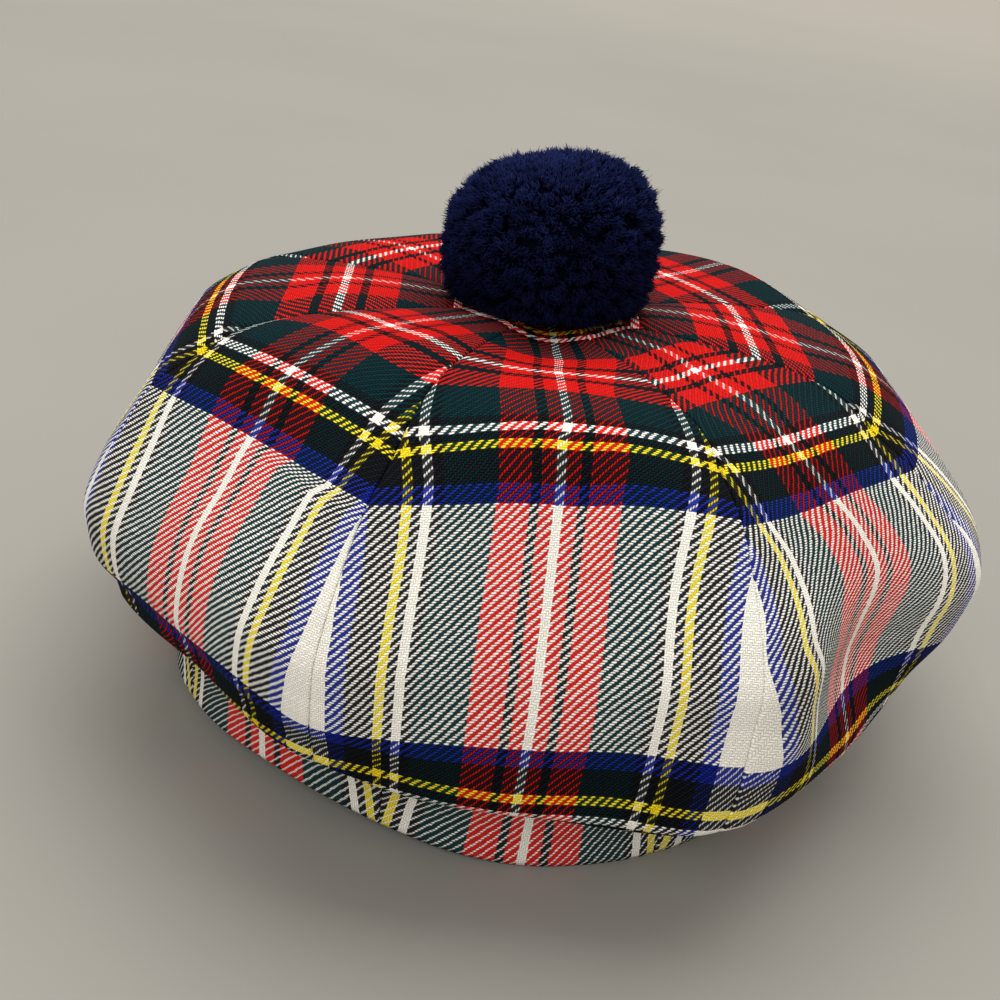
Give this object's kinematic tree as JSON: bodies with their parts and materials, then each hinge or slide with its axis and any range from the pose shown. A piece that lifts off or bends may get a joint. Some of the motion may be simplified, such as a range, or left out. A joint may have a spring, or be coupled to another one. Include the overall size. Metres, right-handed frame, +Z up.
{
  "type": "tam o' shanter hat",
  "caption": "Soft wide tartan cap: a gored crown that overhangs a narrow under-brim round the head opening, with a navy wool pompom on top.",
  "frame": {"origin": "under the middle of the hat's box, in the plane of the head opening's lower edge", "axes": "+Z up through the pompom; -Y towards the front gore; +X to the wearer's left as they face -Y"},
  "size_m": [0.2578, 0.2522, 0.1663],
  "materials": {
    "tartan": "matte wool twill, white-ground tartan in red, black, green, yellow and blue",
    "pompom_wool": "matte cut wool yarn, navy"
  },
  "bodies": {
    "root": {"crown_gore_1": "tartan", "crown_gore_2": "tartan", "crown_gore_3": "tartan", "crown_gore_4": "tartan", "crown_gore_5": "tartan", "crown_gore_6": "tartan", "crown_gore_7": "tartan", "crown_gore_8": "tartan", "under_gore_1": "tartan", "under_gore_2": "tartan", "under_gore_3": "tartan", "under_gore_4": "tartan", "under_gore_5": "tartan", "under_gore_6": "tartan", "under_gore_7": "tartan", "under_gore_8": "tartan", "pompom": "pompom_wool"}
  },
  "joints": []
}
